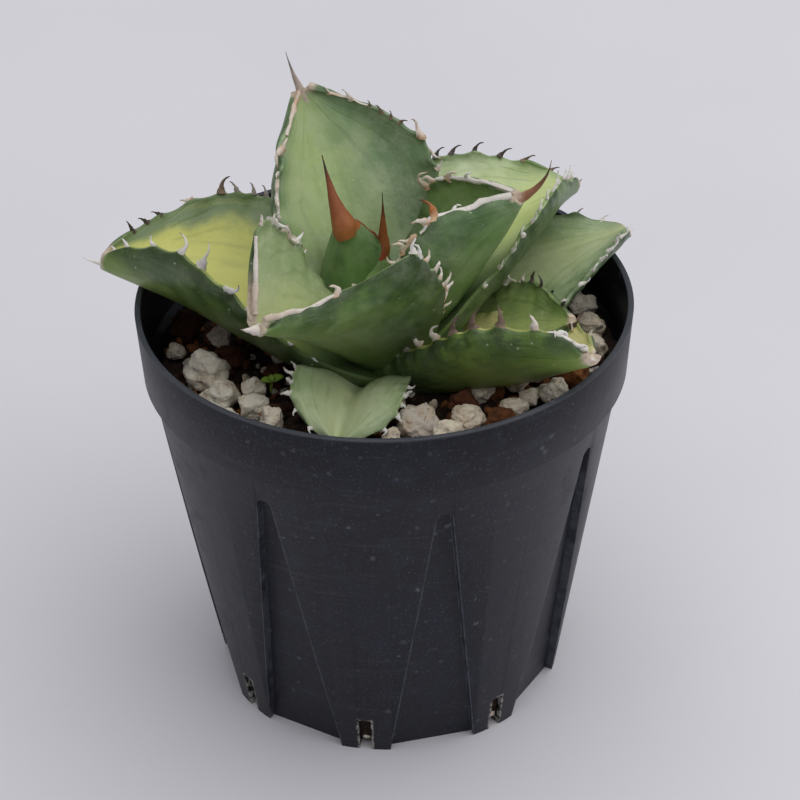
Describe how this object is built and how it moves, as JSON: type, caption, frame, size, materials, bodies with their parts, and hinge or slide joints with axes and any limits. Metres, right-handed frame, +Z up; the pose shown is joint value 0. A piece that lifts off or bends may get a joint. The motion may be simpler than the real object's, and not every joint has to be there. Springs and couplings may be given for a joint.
{
  "type": "potted agave",
  "caption": "Small agave rosette with toothed, spine-tipped leaves in gritty pumice mix, standing in a round soft black nursery pot with recessed panels and drain slits.",
  "frame": {"origin": "centre of the pot's underside, on the surface it stands on", "axes": "+Z up along the pot's axis; -Y is the side that the plant is best seen from, with its small low leaf over the rim; +X is to the right from there"},
  "size_m": [0.1182, 0.105, 0.1378],
  "materials": {
    "pot_plastic": "soft moulded polypropylene, satin, dusty and lightly scuffed",
    "potting_mix": "dark humus and fine grit, rough",
    "pumice": "raw pumice grain, pitted and dull",
    "akadama": "baked clay grain, dull and crumbly",
    "leaf": "waxy grey-green leaf skin with a pale bloom, horn-coloured teeth and end spine",
    "seedling": "soft young leaf",
    "stem_wood": "dry fibrous stem and roots"
  },
  "bodies": {
    "root": {"akadama_10": "akadama", "akadama_11": "akadama", "akadama_12": "akadama", "akadama_13": "akadama", "akadama_14": "akadama", "akadama_19": "akadama", "akadama_20": "akadama", "akadama_27": "akadama", "akadama_32": "akadama", "akadama_34": "akadama", "akadama_37": "akadama", "leaf_back": "leaf", "leaf_back_low": "leaf", "leaf_back_right": "leaf", "leaf_bud": "leaf", "leaf_front": "leaf", "leaf_front_left": "leaf", "leaf_inner": "leaf", "leaf_left": "leaf", "leaf_low_right": "leaf", "leaf_right": "leaf", "leaf_right_front": "leaf", "leaf_right_up": "leaf", "pot": "pot_plastic", "potting_mix": "potting_mix", "pumice_01": "pumice", "pumice_02": "pumice", "pumice_03": "pumice", "pumice_04": "pumice", "pumice_05": "pumice", "pumice_06": "pumice", "pumice_07": "pumice", "pumice_08": "pumice", "pumice_09": "pumice", "pumice_15": "pumice", "pumice_16": "pumice", "pumice_17": "pumice", "pumice_18": "pumice", "pumice_21": "pumice", "pumice_22": "pumice", "pumice_23": "pumice", "pumice_24": "pumice", "pumice_25": "pumice", "pumice_26": "pumice", "pumice_28": "pumice", "pumice_29": "pumice", "pumice_30": "pumice", "pumice_31": "pumice", "pumice_33": "pumice", "pumice_35": "pumice", "pumice_36": "pumice", "pumice_38": "pumice", "seedling": "seedling", "stem_and_roots": "stem_wood"}
  },
  "joints": []
}
